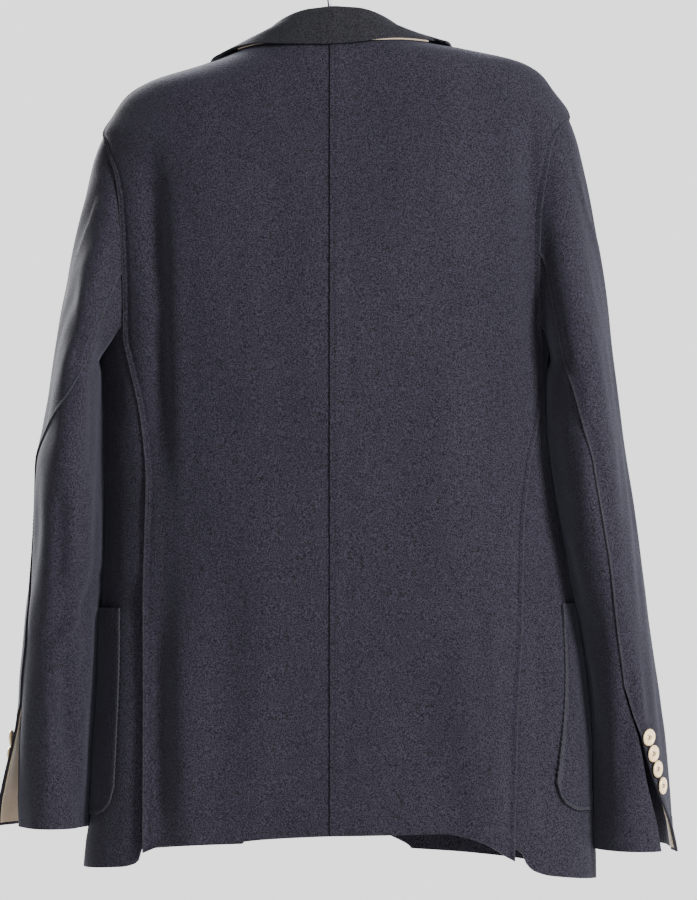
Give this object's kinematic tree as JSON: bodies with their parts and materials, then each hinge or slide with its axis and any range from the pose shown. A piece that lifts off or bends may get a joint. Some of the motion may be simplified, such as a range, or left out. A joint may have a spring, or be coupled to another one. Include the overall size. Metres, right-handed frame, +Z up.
{
  "type": "blazer on a hanger",
  "caption": "Unstructured single-breasted blazer with patch pockets and side vents, hanging on a plain hanger.",
  "frame": {"origin": "inner top of the hanger's hook, where it rests on a rail", "axes": "+Z up, +X to the wearer's right, the blazer's back faces -Y and its front +Y"},
  "size_m": [0.6303, 0.1826, 0.8894],
  "materials": {
    "navy_cloth": "matte felted jersey",
    "tan_cloth": "matte twill",
    "cream_button": "satin",
    "hanger_plastic": "matte",
    "hook_steel": "satin"
  },
  "bodies": {
    "root": {"back_left": "navy_cloth", "back_right": "navy_cloth", "side_left": "navy_cloth", "side_right": "navy_cloth", "front_left": "navy_cloth", "front_right": "navy_cloth", "lapel_left": "navy_cloth", "lapel_right": "navy_cloth", "collar": "navy_cloth", "undercollar": "tan_cloth", "upper_sleeve_left": "navy_cloth", "upper_sleeve_right": "navy_cloth", "under_sleeve_left": "navy_cloth", "under_sleeve_right": "navy_cloth", "cuff_facing_left": "tan_cloth", "cuff_facing_right": "tan_cloth", "pocket_left": "navy_cloth", "pocket_right": "navy_cloth", "front_button_1": "cream_button", "front_button_2": "cream_button", "cuff_button_left_1": "cream_button", "cuff_button_left_2": "cream_button", "cuff_button_left_3": "cream_button", "cuff_button_left_4": "cream_button", "cuff_button_right_1": "cream_button", "cuff_button_right_2": "cream_button", "cuff_button_right_3": "cream_button", "cuff_button_right_4": "cream_button", "hanger": "hanger_plastic", "hook": "hook_steel"}
  },
  "joints": []
}
